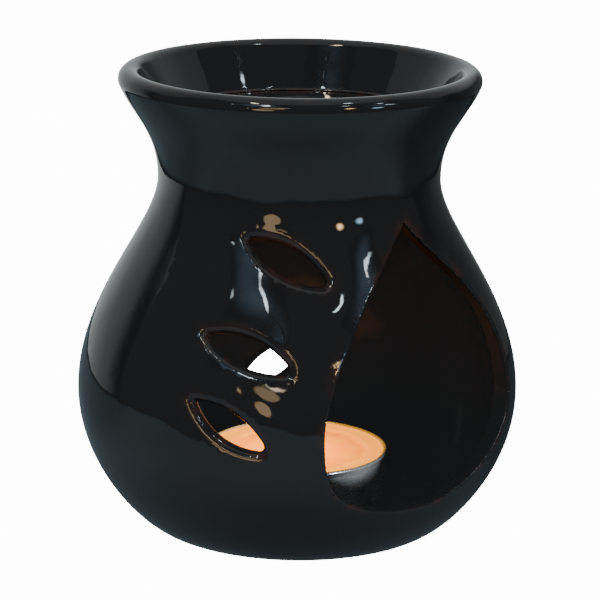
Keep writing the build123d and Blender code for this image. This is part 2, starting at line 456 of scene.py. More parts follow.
# The glaze runs thin on the cut edges, and half as much on the lip's crest.
edge_softness = 1.5 * mm
crest_thinness = 0.5
crest_depth = 0.8 * mm
cut = np.min(np.abs([doorway_distance(spots), *leaf_distances(spots)]), axis=0)
crest = crest_thinness * np.exp(-(((overall_height - spots[:, 2]) / crest_depth) ** 2))
thin = pot.data.attributes.new("thin_glaze", "FLOAT", "POINT")
thin.data.foreach_set("value", np.maximum(np.exp(-((cut / edge_softness) ** 2)), crest))


def add_node(tree, kind, inputs=None, **settings):
    """One node: its settings first, then each input, a number or another node's output."""
    made = tree.nodes.new("ShaderNode" + kind)
    for name, value in settings.items():
        setattr(made, name, value)
    for name, value in (inputs or {}).items():
        if isinstance(value, bpy.types.NodeSocket):
            tree.links.new(value, made.inputs[name])
        else:
            made.inputs[name].default_value = value
    return made


def sum_of(tree, operation, *values):
    """The output of one sum."""
    inputs = dict(enumerate(values))
    return add_node(tree, "Math", inputs, operation=operation).outputs[0]


def product(tree, first, second):
    return sum_of(tree, "MULTIPLY", first, second)


def scaled(tree, value, by, plus):
    return sum_of(tree, "MULTIPLY_ADD", value, by, plus)


def share_between(tree, value, low, high):
    """0 at the low end and 1 at the high end, smooth in between."""
    inputs = {"Value": value, "From Min": low, "From Max": high}
    return add_node(tree, "MapRange", inputs, interpolation_type="SMOOTHSTEP").outputs[0]


def own_place(tree):
    """Where a spot is on its piece, in metres."""
    return add_node(tree, "TexCoord").outputs["Object"]


def height_of(tree, place):
    return add_node(tree, "SeparateXYZ", {"Vector": place}).outputs["Z"]


def noise(tree, place, size, detail=2.0):
    """Soft lumps of about one size, in metres."""
    inputs = {"Vector": place, "Scale": 1 / size, "Detail": detail}
    return add_node(tree, "TexNoise", inputs).outputs["Fac"]


def uneven(tree, place, size, detail=2.0):
    """The same lumps, as heights above and below 0."""
    return sum_of(tree, "SUBTRACT", noise(tree, place, size, detail), 0.5)


def blend_colours(tree, share, first, second):
    """The first colour at 0 and the second at 1: the Mix node's inputs 0, 6 and 7, and output 2."""
    return add_node(tree, "Mix", {0: share, 6: first, 7: second}, data_type="RGBA").outputs[2]


def new_finish(name, takes, gives):
    """A finish that several materials share, with its named inputs and outputs."""
    tree = bpy.data.node_groups.new(name, "ShaderNodeTree")
    for label, start in takes.items():
        kind = "NodeSocketColor" if isinstance(start, tuple) else "NodeSocketFloat"
        tree.interface.new_socket(label, in_out="INPUT", socket_type=kind).default_value = start
    for label in gives:
        kind = "NodeSocketColor" if label == "Colour" else "NodeSocketFloat"
        tree.interface.new_socket(label, in_out="OUTPUT", socket_type=kind)
    entry = tree.nodes.new("NodeGroupInput").outputs
    leave = tree.nodes.new("NodeGroupOutput").inputs
    return tree, entry, leave


def use_finish(tree, finish, values):
    """Places a shared finish in a material with that material's own values."""
    return add_node(tree, "Group", values, node_tree=finish).outputs


def new_material(name):
    material = bpy.data.materials.new(name)
    material.use_nodes = True
    tree = material.node_tree
    return material, tree, tree.nodes["Principled BSDF"].inputs


def set_look(tree, shader, colour, rough, height):
    """Colour, roughness and a relief in metres, each worked out spot by spot."""
    tree.links.new(colour, shader["Base Color"])
    tree.links.new(rough, shader["Roughness"])
    bump = add_node(tree, "Bump", {"Height": height, "Distance": 1.0})
    tree.links.new(bump.outputs[0], shader["Normal"])


# The glaze as it lies on pot and dish: slow waves, a fine peel, lumps on the cut edges, pinholes.
glaze_flow, takes, gives = new_finish(
    "glaze_flow",
    {
        "Glaze": (0.0095, 0.0098, 0.0106, 1),
        "Thin Glaze": (0.028, 0.014, 0.012, 1),
        "Thinness": 0.0,
        "Wave Height": 0.28 * mm,
        "Peel Height": 0.012 * mm,
        "Edge Lump Height": 0.0,
        "Gloss Roughness": 0.03,
    },
    ("Colour", "Roughness", "Height"),
)
wave_size = 17 * mm
peel_size = 2.1 * mm
lump_size = 1.3 * mm
pinhole_spacing = 9 * mm
pinhole_depth = 0.06 * mm
pinhole_share = (0.022, 0.008)
thin_patch_size = 4 * mm
thin_patch_share = (0.42, 0.68)
smear_size = 24 * mm
smear_roughness = 0.035
place = own_place(glaze_flow)
waves = uneven(glaze_flow, place, wave_size)
peel = uneven(glaze_flow, place, peel_size, 1.0)
lumps = uneven(glaze_flow, place, lump_size, 1.5)
lumps = product(glaze_flow, lumps, takes["Thinness"])
cells = add_node(glaze_flow, "TexVoronoi", {"Vector": place, "Scale": 1 / pinhole_spacing})
pinhole = share_between(glaze_flow, cells.outputs["Distance"], *pinhole_share)
height = product(glaze_flow, pinhole, -pinhole_depth)
for shape, label in ((waves, "Wave Height"), (peel, "Peel Height"), (lumps, "Edge Lump Height")):
    height = scaled(glaze_flow, shape, takes[label], height)
glaze_flow.links.new(height, gives["Height"])
patch = noise(glaze_flow, place, thin_patch_size, 4.0)
patch = share_between(glaze_flow, patch, *thin_patch_share)
thinned = product(glaze_flow, takes["Thinness"], patch)
colour = blend_colours(glaze_flow, thinned, takes["Glaze"], takes["Thin Glaze"])
glaze_flow.links.new(colour, gives["Colour"])
smear = share_between(glaze_flow, noise(glaze_flow, place, smear_size, 5.0), 0.35, 0.8)
rough = scaled(glaze_flow, smear, smear_roughness, takes["Gloss Roughness"])
glaze_flow.links.new(rough, gives["Roughness"])

# Soot, which a flame leaves above itself: none at the low height, all at the high one.
soot_film, takes, gives = new_finish("soot_film", {"Low": 0.0, "High": 1.0}, ("Soot",))
soot_waver = 8 * mm
place = own_place(soot_film)
ragged = uneven(soot_film, place, 7 * mm, 4.0)
level = scaled(soot_film, ragged, soot_waver, height_of(soot_film, place))
soot_film.links.new(share_between(soot_film, level, takes["Low"], takes["High"]), gives["Soot"])

glaze, tree, shader = new_material("black_glaze")
thinness = add_node(tree, "Attribute", attribute_name="thin_glaze").outputs["Fac"]
flow = use_finish(tree, glaze_flow, {"Thinness": thinness, "Edge Lump Height": 0.07 * mm})
# The foot is wiped bare, so that it doesn't stick to the kiln's shelf.
bare_clay = (0.46, 0.36, 0.27, 1)
bare_clay_dark = (0.30, 0.22, 0.16, 1)
wiped_from = 0.30 * mm
wiped_to = 0.22 * mm
wipe_waver = 0.5 * mm
grit_size = 0.5 * mm
grit_height = 0.12 * mm
place = own_place(tree)
wavering = product(tree, noise(tree, place, 5 * mm), wipe_waver)
level = sum_of(tree, "SUBTRACT", height_of(tree, place), wavering)
wiped = share_between(tree, level, wiped_from, wiped_to)
grit = noise(tree, place, grit_size, 4.0)
clay_colour = blend_colours(tree, grit, bare_clay_dark, bare_clay)
colour = blend_colours(tree, wiped, flow["Colour"], clay_colour)
rough = scaled(tree, wiped, 0.8, flow["Roughness"])
grit = product(tree, product(tree, grit, wiped), grit_height)
set_look(tree, shader, colour, rough, sum_of(tree, "ADD", flow["Height"], grit))

# Inside, the glaze was only poured through: it is thinner, duller and sooted at the top.
# This black is a shade lighter than the outside glaze: painted light that lifts the dim chamber.
chamber_black_lit = (0.0112, 0.0122, 0.0128, 1)
soot_black = (0.004, 0.0038, 0.0035, 1)
chamber_glaze, tree, shader = new_material("chamber_glaze")
flow = use_finish(
    tree,
    glaze_flow,
    {
        "Glaze": chamber_black_lit,
        "Wave Height": 0.22 * mm,
        "Peel Height": 0.02 * mm,
        "Gloss Roughness": 0.10,
    },
)
soot = use_finish(tree, soot_film, {"Low": 48 * mm, "High": 64 * mm})["Soot"]
colour = blend_colours(tree, soot, flow["Colour"], soot_black)
thinness = add_node(tree, "Attribute", attribute_name="thin_glaze").outputs["Fac"]
tree.links.new(scaled(tree, thinness, -0.042, 0.05), shader["Specular IOR Level"])
rough = scaled(tree, thinness, 0.2, flow["Roughness"])
rough = scaled(tree, soot, 0.25, rough)
set_look(tree, shader, colour, rough, flow["Height"])

pot.data.materials.append(glaze)
pot.data.materials.append(chamber_glaze)
middles = np.array([tuple(face.center) for face in pot.data.polygons])
middle_radius = np.hypot(middles[:, 0], middles[:, 1])
halfway = np.interp(middles[:, 2], outer_wall[:, 1], outer_wall[:, 0]) - wall / 2
in_chamber = (middle_radius < halfway) & (middles[:, 2] > floor_thickness / 2)
in_chamber &= middles[:, 2] < dish_seat_low
# The doorway's cut face is as dull as the chamber, the leaves' are as glossy as the outside.
doorway_face = 0.35 * mm
in_doorway = doorway_distance(middles) < doorway_face
in_chamber |= in_doorway & (middle_radius < halfway + 0.3 * wall)
pot.data.polygons.foreach_set("material_index", in_chamber.astype(int))
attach(pot, "pot")
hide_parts("burner_pot")

# The oil dish: a shallow earthenware bowl, slip cast by itself and luted to a seat in the neck.
# Both are glazed together, so the glaze runs over the joint in a soft bead.
dish_depth = 14.8 * mm
dish_thickness = 3.2 * mm
dish_edge = 0.7 * mm
dish_bead = 0.35 * mm
dish_side_share = 0.26
dish_floor_share = 0.5
bead_radius = 0.55 * mm
bead_reach = 0.9 * mm
oil_line_height = 5 * mm
oil_line_reach = 0.5 * mm
turn_steps = 192


def spin(name, profile, steps, bend=None, ring_shaped=False):
    """Turns a profile of radius and height about the axis, closed there or back to its start."""
    around = np.linspace(0, 2 * math.pi, steps, endpoint=False)
    corners = []
    rings = []
    for radius, height in profile:
        if radius == 0:
            rings.append([len(corners)] * steps)
            corners.append((0.0, 0.0, height))
            continue
        rings.append(list(range(len(corners), len(corners) + steps)))
        corners += [(radius * math.cos(a), radius * math.sin(a), height) for a in around]
    faces = []
    if ring_shaped:
        rings.append(rings[0])
    for low, high in zip(rings, rings[1:]):
        for i in range(steps):
            j = (i + 1) % steps
            ring = [low[i], low[j], high[j], high[i]]
            faces.append([c for k, c in enumerate(ring) if c not in ring[:k]])
    if bend:
        corners = bend(np.array(corners))
    piece = mesh_of(name, corners, faces)
    piece.data.shade_smooth()
    return piece


dish_floor = dish_seat_high - dish_depth
dish_under = dish_floor - dish_thickness
seat_low = np.array([inner_neck[0], dish_seat_low])
dish_side = polar(dish_side_share * seat_high[0], inner_flare_angle)
dish_inside = seat_high - [dish_edge + 0.5 * dish_bead, 0]
bead_angles = np.linspace(-80, 70, 9)
bead_middle = (dish_inside + seat_high) / 2 + [0.2 * dish_bead, -0.4 * dish_bead]
floor_middle = np.array([0, dish_floor])
floor_side = np.array([dish_floor_share * dish_inside[0], dish_floor])
under_middle = np.array([0, dish_under])
under_side = np.array([dish_floor_share * seat_low[0], dish_under])
dish_profile = np.vstack(
    [
        curve(floor_middle, floor_side, dish_inside - dish_side, dish_inside, 60),
        [bead_middle + polar(bead_radius, angle) for angle in bead_angles],
        [seat_high + [0.15 * mm, -0.5 * mm], seat_low + [0.1 * mm, 0]],
        curve(seat_low, seat_low - dish_side, under_side, under_middle, 50),
    ]
)
dish = spin("glazed_dish", dish_profile[::-1], turn_steps)
dish_glaze, tree, shader = new_material("dish_glaze")
place = own_place(tree)
level = height_of(tree, place)
from_bead = sum_of(tree, "ABSOLUTE", sum_of(tree, "SUBTRACT", level, dish_seat_high))
near_bead = share_between(tree, from_bead, bead_reach, 0)
flow = use_finish(tree, glaze_flow, {"Thinness": near_bead, "Edge Lump Height": 0.10 * mm})
# The flame blackens the bowl's underside, and old oil leaves a faint ring low inside it.
facing = add_node(tree, "NewGeometry").outputs["Normal"]
facing_down = share_between(tree, height_of(tree, facing), 0.1, -0.3)
soot = use_finish(tree, soot_film, {"Low": 50 * mm, "High": 62 * mm})["Soot"]
soot = product(tree, soot, facing_down)
oil_line = sum_of(tree, "SUBTRACT", level, dish_floor + oil_line_height)
oil_line = share_between(tree, sum_of(tree, "ABSOLUTE", oil_line), oil_line_reach, 0)
oil_line = product(tree, oil_line, noise(tree, place, 3 * mm, 4.0))
colour = blend_colours(tree, soot, flow["Colour"], soot_black)
rough = scaled(tree, soot, 0.55, flow["Roughness"])
rough = scaled(tree, oil_line, 0.25, rough)
set_look(tree, shader, colour, rough, flow["Height"])
dish.data.materials.append(dish_glaze)
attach(dish, "pot")
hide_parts("oil_dish")

# The tealight's cup: thin aluminium sheet, drawn to a cup in a press, its rim rolled to a bead.
# It stands loose on the pot's floor, and handling has left it a little out of round.
cup_radius = 19.0 * mm
cup_height = 11.5 * mm
cup_wall = 0.3 * mm
cup_bead = 0.4 * mm
cup_taper = 0.5 * mm
cup_corner = 0.9 * mm
cup_ring_radius = 13.5 * mm
cup_dent = 0.14 * mm
cup_base_rise = 0.25 * mm
cup_ring_drop = 0.08 * mm
cup_ring_step = 0.35 * mm
cup_foot = floor_thickness
cup_top = cup_foot + cup_height
bead_height = cup_top - cup_bead
cup_side = cup_radius - 2 * cup_bead + cup_wall
cup_base = cup_side - cup_taper


def round_axis(corners):
    """Each corner's angle round the axis and its distance from it."""
    return np.arctan2(corners[:, 1], corners[:, 0]), np.hypot(corners[:, 0], corners[:, 1])


def dented(corners):
    """Pushes a few shallow dents into the cup and what fills it, deeper towards the rim."""
    around, radius = round_axis(corners)
    rise = np.clip((corners[:, 2] - cup_foot) / cup_height, 0, 1)
    push = 0.5 + 0.3 * np.sin(3 * around + 0.7) + 0.2 * np.sin(7 * around + 2.1)
    share = np.clip(radius / cup_base, 0, 1) ** 4
    scale = 1 - cup_dent * push * rise * share / np.maximum(radius, mm)
    return np.stack([corners[:, 0] * scale, corners[:, 1] * scale, corners[:, 2]], -1)


def arc(middle, radius, start, end, count):
    return np.array([middle + polar(radius, angle) for angle in np.linspace(start, end, count)])


corner_middle = np.array([cup_base - cup_corner, cup_foot + cup_corner])
bead_centre = np.array([cup_side - cup_wall + cup_bead, bead_height])
outer_foot = corner_middle + [cup_corner, 0]
outer_top = np.array([cup_side, bead_height - cup_bead])
inner_foot = outer_foot - [cup_wall, 0]
inner_top = np.array([cup_side - cup_wall, bead_height])
side_run = np.linspace(0, 1, 14)[1:, None]
ring_out = cup_ring_radius + cup_ring_step
ring_in = cup_ring_radius - cup_ring_step
cup_profile = np.vstack(
    [
        [[0, cup_foot + cup_base_rise], [ring_in, cup_foot + cup_base_rise]],
        [[cup_ring_radius, cup_foot + cup_ring_drop], [ring_out, cup_foot]],
        arc(corner_middle, cup_corner, 180, 90, 8),
        outer_foot + side_run * (outer_top - outer_foot),
        arc(bead_centre, cup_bead, 140, -90, 14),
        inner_top + side_run * (inner_foot - inner_top),
        arc(corner_middle, cup_corner - cup_wall, 90, 180, 6)[1:],
        [[0, cup_foot + cup_wall + cup_base_rise]],
    ]
)
cup = spin("pressed_cup", cup_profile, 144, dented)

# Fine scuffs of thin sheet metal that has been pressed and handled.
metal_scuffs, takes, gives = new_finish(
    "metal_scuffs", {"Length": 0.004, "Depth": 0.0}, ("Scuffs", "Height")
)
place = own_place(metal_scuffs)
stretched = add_node(metal_scuffs, "Mapping", {"Vector": place, "Scale": (1, 1, 9)}).outputs[0]
fineness = sum_of(metal_scuffs, "DIVIDE", 1.0, takes["Length"])
lines = {"Vector": stretched, "Scale": fineness, "Detail": 6.0}
lines = add_node(metal_scuffs, "TexNoise", lines).outputs["Fac"]
lines = share_between(metal_scuffs, lines, 0.35, 0.7)
metal_scuffs.links.new(lines, gives["Scuffs"])
metal_scuffs.links.new(product(metal_scuffs, lines, takes["Depth"]), gives["Height"])

bright_sheet = (0.74, 0.75, 0.77, 1)
dull_sheet = (0.50, 0.49, 0.48, 1)
crinkle_size = 3.5 * mm
crinkle_height = 0.08 * mm
aluminium, tree, shader = new_material("cup_aluminium")
shader["Metallic"].default_value = 0.75
scuffs = use_finish(tree, metal_scuffs, {"Length": 4 * mm, "Depth": 0.006 * mm})
place = own_place(tree)
tarnish = share_between(tree, noise(tree, place, 6 * mm, 4.0), 0.45, 0.75)
colour = blend_colours(tree, tarnish, bright_sheet, dull_sheet)
rough = scaled(tree, scuffs["Scuffs"], 0.14, 0.20)
crinkle = product(tree, noise(tree, place, crinkle_size), crinkle_height)
set_look(tree, shader, colour, rough, sum_of(tree, "ADD", crinkle, scuffs["Height"]))
cup.data.materials.append(aluminium)
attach(cup, "tealight")
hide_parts("tealight_cup")


def length_of(tree, vector):
    return add_node(tree, "VectorMath", {0: vector}, operation="LENGTH").outputs["Value"]


# The wax: poured paraffin that fills the cup to just under its rim.
# The flame has melted a pool round the wick, and a ring by the cool wall is still solid.
wax_below_rim = 0.9 * mm
wax_top = cup_top - wax_below_rim
wax_play = 0.02 * mm
pool_radius = 14.6 * mm
ridge_height = 0.28 * mm
ridge_width = 0.35 * mm
wall_creep_height = 0.35 * mm
wall_creep_reach = 0.5 * mm
wick_creep_height = 0.45 * mm
wick_creep_reach = 0.6 * mm
wick_radius = 0.8 * mm
wax_corner_radius = 0.6 * mm
wax_side = cup_side - cup_wall - wax_play
wax_base = cup_base - cup_wall - wax_play
wax_foot = cup_foot + cup_wall + cup_base_rise + wax_play
across = np.concatenate(
    [
        np.linspace(0, 3 * mm, 12),
        np.linspace(3.4 * mm, pool_radius - 2.2 * mm, 16),
        np.linspace(pool_radius - 2 * mm, wax_side, 40),
    ]
)


def poured(corners):
    """Shapes the wax's top: it creeps up wick and wall, and a wavering ridge rings the pool."""
    around, radius = round_axis(corners)
    edge = pool_radius + mm * (0.5 * np.sin(2 * around + 1) + 0.35 * np.sin(5 * around))
    edge += mm * (0.2 * np.sin(11 * around + 2) + 0.1 * np.sin(23 * around))
    ridge = ridge_height / (1 + np.exp(-(radius - edge) / ridge_width))
    by_wall = wall_creep_height * np.exp(-(wax_side - radius) / wall_creep_reach)
    by_wick = np.exp(-np.maximum(radius - wick_radius, 0) / wick_creep_reach) * wick_creep_height
    on_top = corners[:, 2] > wax_top - 0.01 * mm
    raised = corners.copy()
    raised[on_top, 2] += (ridge + by_wall + by_wick)[on_top]
    return dented(raised)


wax_corner = np.array([wax_base - wax_corner_radius, wax_foot + wax_corner_radius])
wax_profile = np.vstack(
    [
        [[0, wax_foot]],
        arc(wax_corner, wax_corner_radius, 180, 90, 6),
        [[wax_side, wax_top - 0.3 * mm]],
        np.stack([across[::-1], np.full(len(across), wax_top)], -1),
    ]
)
wax = spin("melted_wax", wax_profile, 180, poured)
# The wax's own tones for pool, cloud and solid ring, tinted deep orange with painted glow from the
# flame.
molten_wax_flame_lit = (0.88, 0.43, 0.08, 1)
cloudy_wax_flame_lit = (0.94, 0.52, 0.13, 1)
solid_wax_flame_lit = (0.95, 0.60, 0.22, 1)
soot_speck = (0.05, 0.035, 0.025, 1)
paraffin, tree, shader = new_material("candle_wax")
shader["Subsurface Weight"].default_value = 0.25
shader["Subsurface Radius"].default_value = (1.0, 0.45, 0.2)
shader["Subsurface Scale"].default_value = 1.5 * mm
place = own_place(tree)
from_wick = add_node(tree, "VectorMath", {0: place, 1: (1, 1, 0)}, operation="MULTIPLY").outputs[0]
from_wick = length_of(tree, from_wick)
wander = scaled(tree, noise(tree, place, 9 * mm, 3.0), 3 * mm, from_wick)
solid = share_between(tree, wander, pool_radius, pool_radius + 2.5 * mm)
cloud = share_between(tree, noise(tree, place, 5 * mm, 5.0), 0.4, 0.7)
flame_lit_wax_colour = blend_colours(tree, cloud, molten_wax_flame_lit, cloudy_wax_flame_lit)
flame_lit_wax_colour = blend_colours(tree, solid, flame_lit_wax_colour, solid_wax_flame_lit)
specks = add_node(tree, "TexVoronoi", {"Vector": place, "Scale": 1 / (2.6 * mm)})
specks = share_between(tree, specks.outputs["Distance"], 0.10, 0.05)
specks = product(tree, specks, share_between(tree, from_wick, 6 * mm, 2 * mm))
flame_lit_wax_colour = blend_colours(tree, specks, flame_lit_wax_colour, soot_speck)
rough = scaled(tree, solid, 0.30, 0.12)
swirl = product(tree, noise(tree, place, 3.5 * mm, 3.0), 0.06 * mm)
grain = product(tree, noise(tree, place, 0.5 * mm), solid)
grain = product(tree, grain, 0.02 * mm)
set_look(tree, shader, flame_lit_wax_colour, rough, sum_of(tree, "ADD", swirl, grain))
wax.data.materials.append(paraffin)
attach(wax, "tealight")
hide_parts("tealight_wax")

# The wick: cotton yarns braided to a cord and waxed stiff. It stands in its metal foot, and its
# burnt end has curled over and charred.
wick_foot = wax_foot
wick_above_wax = 6.5 * mm
wick_bend_radius = 9.0 * mm
wick_bend = math.radians(28.0)
wick_bend_height = wax_top + wick_above_wax / 2
wick_end_cut = 0.15 * mm
yarn_count = 6
yarn_radius = 0.29 * mm
yarn_pitch = 3.2 * mm
yarn_sides = 8
braid_radius = 0.40 * mm
braid_swell = 0.09 * mm
fray = 0.12
frayed_from = 0.8
thinned_from = 0.9


def along_wick(length):
    """Where the wick's middle is at a length from its foot, and which way it runs there."""
    straight = wick_bend_height - wick_foot
    if length < straight:
        return np.array([0, 0, wick_foot + length]), np.array([0, 0, 1.0])
    turned = (length - straight) / wick_bend_radius
    spot = [-wick_bend_radius * (1 - math.cos(turned)), 0, wick_bend_radius * math.sin(turned)]
    run = np.array([-math.sin(turned), 0, math.cos(turned)])
    return np.array(spot) + [0, 0, wick_bend_height], run


wick_length = wick_bend_height - wick_foot + wick_bend_radius * wick_bend
stations = np.linspace(0, wick_length - wick_end_cut, 90)


def yarn_path(yarn):
    """The middle line of one yarn: half of them wind one way and half the other."""
    hand = 1 if yarn % 2 else -1
    start = 2 * math.pi * (yarn // 2) / 3 + 0.5 * hand
    path = []
    for length in stations:
        spot, run = along_wick(length)
        side = np.array([0, 1.0, 0])
        out = np.cross(side, run)
        turned = start + hand * 2 * math.pi * length / yarn_pitch
        lift = braid_radius + braid_swell * math.sin(3 * turned + yarn)
        spread = 1 + fray * max(0, length / wick_length - frayed_from)
        path.append(spot + spread * lift * (math.cos(turned) * out + math.sin(turned) * side))
    return np.array(path)


corners = []
faces = []
for yarn in range(yarn_count):
    path = yarn_path(yarn)
    first = len(corners)
    for k, (spot, run) in enumerate(zip(path, np.gradient(path, axis=0))):
        run = run / np.linalg.norm(run)
        side = np.cross(run, [1, 0, 0.2])
        side /= np.linalg.norm(side)
        out = np.cross(side, run)
        thick = yarn_radius * (1 - 0.5 * max(0, k / len(path) - thinned_from) / (1 - thinned_from))
        for i in range(yarn_sides):
            a = 2 * math.pi * i / yarn_sides
            corners.append(spot + thick * (math.cos(a) * out + math.sin(a) * side))
    last = len(corners) - yarn_sides
    for low in range(first, last, yarn_sides):
        for i in range(yarn_sides):
            j = (i + 1) % yarn_sides
            faces.append([low + i, low + j, low + yarn_sides + j, low + yarn_sides + i])
    faces.append([first + i for i in range(yarn_sides)][::-1])
    faces.append([last + i for i in range(yarn_sides)])
wick = mesh_of("braided_wick", corners, faces)
wick.data.shade_smooth()
cotton_shade = (0.52, 0.40, 0.24, 1)
cotton_light = (0.80, 0.70, 0.50, 1)
char_black = (0.012, 0.010, 0.009, 1)
cotton, tree, shader = new_material("wick_cotton")
char = use_finish(tree, soot_film, {"Low": wax_top + 1.5 * mm, "High": wax_top + 5.5 * mm})["Soot"]
fuzz = noise(tree, own_place(tree), 0.25 * mm, 3.0)
colour = blend_colours(tree, fuzz, cotton_shade, cotton_light)
colour = blend_colours(tree, char, colour, char_black)
rough = scaled(tree, char, 0.35, 0.55)
set_look(tree, shader, colour, rough, product(tree, fuzz, 0.06 * mm))
wick.data.materials.append(cotton)
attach(wick, "tealight")
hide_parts("tealight_wick")

# The wick's foot: a tinned steel disc, stamped in one blow, its neck pinched round the wick.
# The wax hides it.
sustainer_radius = 6.5 * mm
sustainer_thickness = 0.3 * mm
sustainer_neck = 1.5 * mm
sustainer_height = 3.2 * mm
pinch = 0.22
rib_height = 0.12 * mm


def pinched(corners):
    """Pinches the neck in from four sides and lifts three shallow ribs on the disc."""
    around, radius = round_axis(corners)
    rise = np.clip((corners[:, 2] - wick_foot) / sustainer_height, 0, 1)
    scale = 1 - pinch * rise * (radius < 1.01 * sustainer_neck) * np.maximum(np.cos(4 * around), 0)
    rib = np.maximum(np.cos(3 * around), 0) ** 8
    rib *= (radius > 2 * sustainer_neck) & (radius < 0.85 * sustainer_radius)
    height = corners[:, 2] + rib_height * rib
    return np.stack([corners[:, 0] * scale, corners[:, 1] * scale, height], -1)


bore = wick_radius + 0.05 * mm
disc_top = wick_foot + sustainer_thickness
disc_run = np.linspace(sustainer_neck + 0.4 * mm, sustainer_radius - 0.1 * mm, 14)
sustainer_profile = [(bore, wick_foot), *((r, wick_foot) for r in disc_run)]
sustainer_profile += [(sustainer_radius, wick_foot + sustainer_thickness / 2)]
sustainer_profile += [(r, disc_top) for r in disc_run[::-1]]
sustainer_profile += [(sustainer_neck, disc_top + 0.3 * mm)]
sustainer_profile += [(sustainer_neck, wick_foot + h * sustainer_height) for h in (0.4, 0.7, 1.0)]
sustainer_profile += [(bore, wick_foot + sustainer_height)]
sustainer = spin("stamped_sustainer", sustainer_profile, 72, pinched, ring_shaped=True)
bright_tin = (0.72, 0.71, 0.69, 1)
dull_tin = (0.52, 0.52, 0.52, 1)
tin, tree, shader = new_material("tinned_steel")
shader["Metallic"].default_value = 1.0
scuffs = use_finish(tree, metal_scuffs, {"Length": 1.5 * mm, "Depth": 0.01 * mm})
colour = blend_colours(tree, scuffs["Scuffs"], bright_tin, dull_tin)
rough = scaled(tree, scuffs["Scuffs"], 0.2, 0.28)
set_look(tree, shader, colour, rough, scuffs["Height"])
sustainer.data.materials.append(tin)
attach(sustainer, "tealight")
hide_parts("wick_sustainer")

# The flame's light: warm, small, just over the wick. The candle itself glows brighter than the
# black glaze round it, so each has its own share of the light.
flame_height = wax_top + 17 * mm
flame_lean = -2 * mm
flame_size = 2.5 * mm


def only_on(lamp, pieces):
    """Keeps a light to the pieces that it is meant for."""
    lit = bpy.data.collections.new(lamp.name + "_lights")
    for piece in pieces:
        lit.objects.link(piece)
    lamp.light_linking.receiver_collection = lit


def new_light(name, kind, place, pieces, **settings):
    """A light at its place, with its own settings, on the pieces that it is meant for."""
    light = bpy.data.lights.new(name, kind)
    for setting, value in settings.items():
        setattr(light, setting, value)
    lamp = bpy.data.objects.new(name, light)
    lamp.location = place
    bpy.context.collection.objects.link(lamp)
    if pieces:
        only_on(lamp, pieces)
    return lamp


def flame_light(name, energy, colour, pieces):
    place = (flame_lean, 0, flame_height)
    settings = {"energy": energy, "color": colour, "shadow_soft_size": flame_size}
    lamp = new_light(name, "POINT", place, pieces, **settings)
    lamp.visible_camera = False
    lamp.parent = wick
    return lamp


flame_light("flame_on_glaze", 0.0025, (1.0, 0.62, 0.60), [pot, dish])
flame_light("flame_on_candle", 0.088, (1.0, 0.46, 0.03), [wax, cup, wick])
glints = flame_light("flame_in_glaze", 0.030, (1.0, 0.36, 0.16), [pot, dish])
glints.visible_diffuse = False

# The table and the studio. The camera sees a white room. The glaze mirrors a pale round table,
# a white cloth behind and beside the pot, a ceiling, a few lamps, and the dark room in front.
camera_turn = math.radians(-42)
square = ((-1, -1), (1, -1), (1, 1), (-1, 1))


def studio(turn, radius, height):
    """A place in the studio: degrees to the right of the camera, seen from the pot."""
    angle = camera_turn + math.radians(turn)
    return (radius * math.sin(angle), -radius * math.cos(angle), height)


def studio_up(turn, up, away):
    """The same by its degrees up, at a distance from the pot's foot."""
    return studio(turn, away * math.cos(math.radians(up)), away * math.sin(math.radians(up)))


def toward(tree, place, turn):
    """How far a place lies toward a turn to the right, in metres from the axis."""
    inputs = {0: place, 1: studio(turn, 1, 0)}
    return add_node(tree, "VectorMath", inputs, operation="DOT_PRODUCT").outputs["Value"]


def glow(name, colour, strength):
    """A plain light that a surface gives off."""
    material = bpy.data.materials.new(name)
    material.use_nodes = True
    tree = material.node_tree
    shine = add_node(tree, "Emission", {"Color": (*colour, 1), "Strength": strength})
    tree.links.new(shine.outputs[0], tree.nodes["Material Output"].inputs[0])
    tree.nodes.remove(tree.nodes["Principled BSDF"])
    return material, tree, shine.inputs["Strength"]


def only_mirrored(piece, material):
    """A piece of the studio that the glaze mirrors and nothing else sees."""
    piece.data.materials.append(material)
    piece.visible_camera = False
    piece.visible_diffuse = False
    piece.visible_transmission = False
    piece.visible_volume_scatter = False
    piece.visible_shadow = False
    piece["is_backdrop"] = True


floor_drop = -0.05 * mm
floor_side = 3.0
floor_glow = 14.0
floor_corners = [(x * floor_side, y * floor_side, floor_drop) for x, y in square]
floor = mesh_of("floor", floor_corners, [(0, 1, 2, 3)])
white, tree, shader = new_material("floor_white")
shader["Base Color"].default_value = (0.85, 0.85, 0.85, 1)
shader["Roughness"].default_value = 0.9
shader["Emission Color"].default_value = (1, 1, 1, 1)
seen = add_node(tree, "LightPath").outputs["Is Camera Ray"]
tree.links.new(product(tree, seen, floor_glow), shader["Emission Strength"])
floor.data.materials.append(white)
floor.visible_glossy = False
floor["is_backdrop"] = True

table_lift = 0.4 * mm
table_radius = 0.275
table_fade = 0.05
table_rings = (0, 0.02, 0.05, 0.09, 0.14, 0.20, table_radius)
table_by_foot = 0.15
table_open = 0.24
shade_right = 0.82
shade_left = 0.45
sheet = spin("table_mirrored", [(radius, table_lift) for radius in table_rings], 60)
material, tree, strength = glow("table_light", (0.66, 0.88, 1.0), 0.30)
place = own_place(tree)
out = length_of(tree, place)
# The pot shades the table close to its foot and, from the window, behind it on the right.
bright = share_between(tree, out, 0.030, 0.075)
bright = scaled(tree, bright, table_open, table_by_foot)
rightward = toward(tree, place, 90)
shade = product(tree, share_between(tree, rightward, 0.004, 0.025), shade_right)
leftward = share_between(tree, rightward, -0.010, -0.040)
shade = scaled(tree, leftward, shade_left, shade)
behind = share_between(tree, toward(tree, place, 180), -0.04, 0.02)
shade = product(tree, shade, behind)
bright = product(tree, bright, sum_of(tree, "SUBTRACT", 1.0, shade))
edge = share_between(tree, out, table_radius, table_radius - table_fade)
tree.links.new(product(tree, bright, edge), strength)
only_mirrored(sheet, material)

